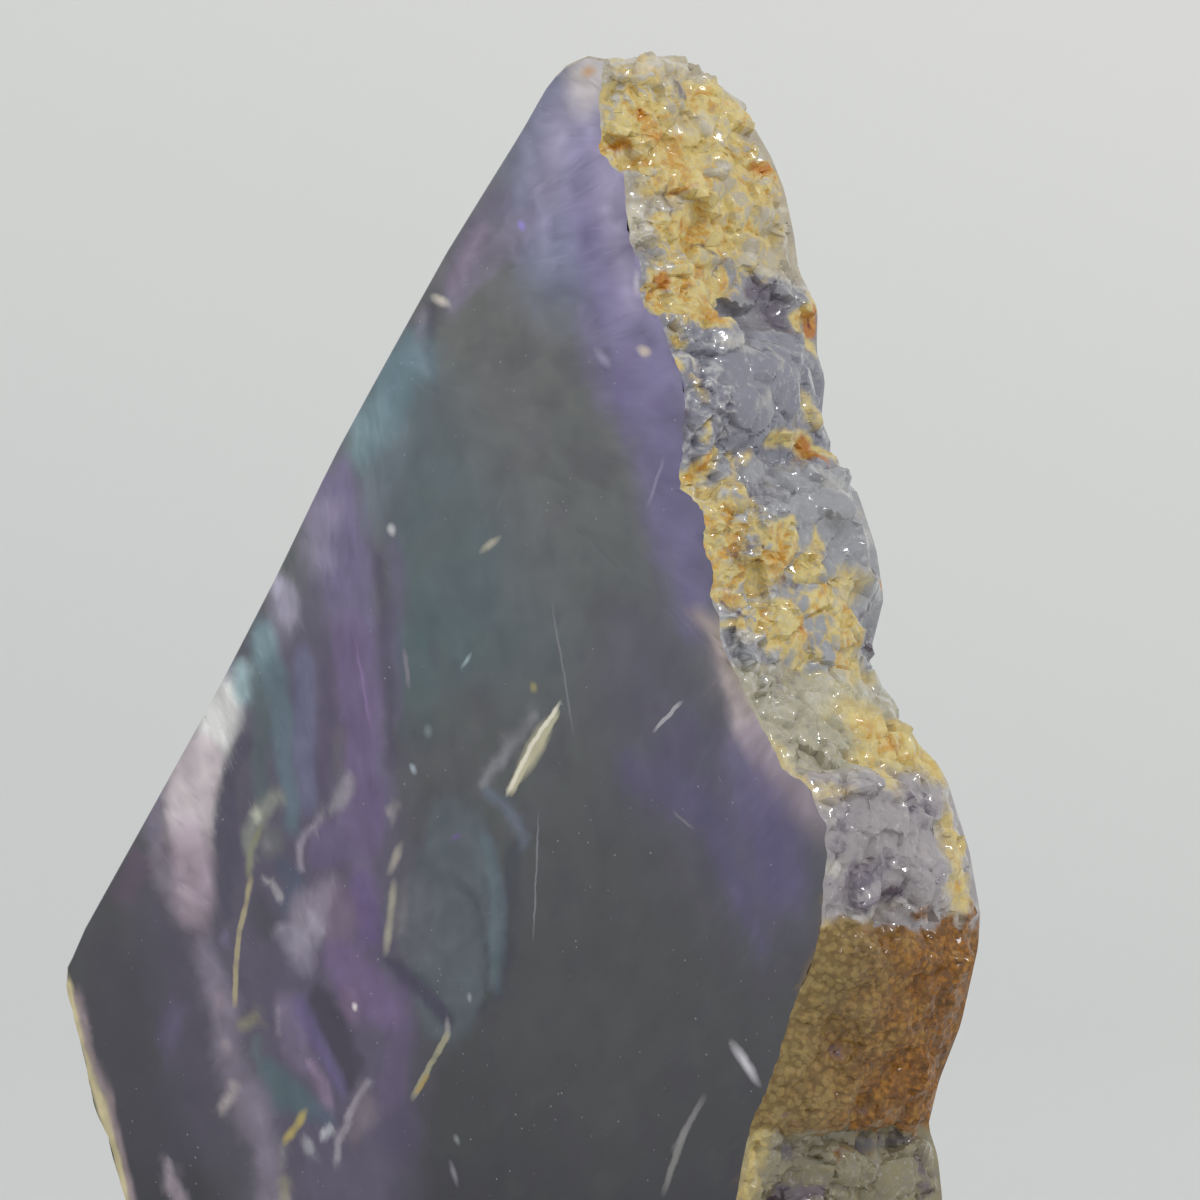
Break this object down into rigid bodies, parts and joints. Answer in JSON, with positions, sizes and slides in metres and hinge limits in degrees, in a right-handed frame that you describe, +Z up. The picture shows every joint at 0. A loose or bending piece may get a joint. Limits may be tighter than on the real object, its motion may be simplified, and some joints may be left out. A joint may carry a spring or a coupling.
{
  "type": "fluorite slice",
  "caption": "Upright slab of banded violet, green and near-black fluorite with a polished face, a straight sawn side and a natural iron-stained crust down the other side.",
  "frame": {"origin": "middle of the bounding box at the sawn base that the slab stands on", "axes": "+Z up, along the slab's height; -Y out of the polished front face; +X towards the natural crust"},
  "size_m": [0.0868, 0.021, 0.1105],
  "materials": {
    "fluorite": "polished front face, satin sawn faces, rough natural crust with iron stains"
  },
  "bodies": {
    "root": {"fluorite_slice": "fluorite"}
  },
  "joints": []
}
